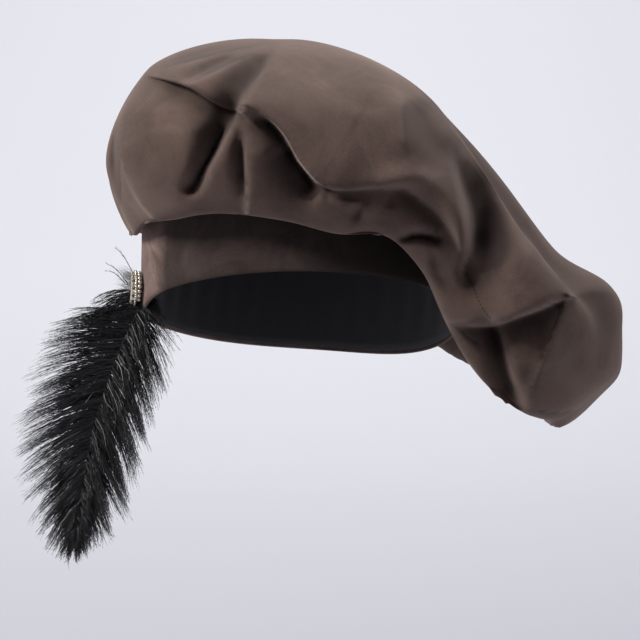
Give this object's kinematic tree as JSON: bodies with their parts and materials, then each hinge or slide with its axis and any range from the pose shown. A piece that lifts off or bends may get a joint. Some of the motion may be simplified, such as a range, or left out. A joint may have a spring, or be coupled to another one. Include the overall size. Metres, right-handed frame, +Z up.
{
  "type": "tudor beret",
  "caption": "Floppy puffed velvet beret gathered to a head band, slouching and hanging to one side, with a round jewelled brooch and a black plume.",
  "frame": {"origin": "middle of the band's lower edge, where the head goes in", "axes": "+Z up as worn, +X to the right of someone facing the front, towards the hanging end of the bag, +Y to the back"},
  "size_m": [0.3622, 0.2981, 0.3097],
  "materials": {
    "crown_velvet": "brown velvet with a soft nap",
    "band_velvet": "brown velvet with a soft nap",
    "lining": "dull charcoal cloth",
    "brooch_silver": "pale silver set with cut clear stones",
    "pin_steel": "plain",
    "plume_feather": "glossy black barbs"
  },
  "bodies": {
    "root": {"crown": "crown_velvet", "band": "band_velvet", "band_lining": "lining", "brooch": "brooch_silver", "brooch_pin": "pin_steel", "plume": "plume_feather"}
  },
  "joints": []
}
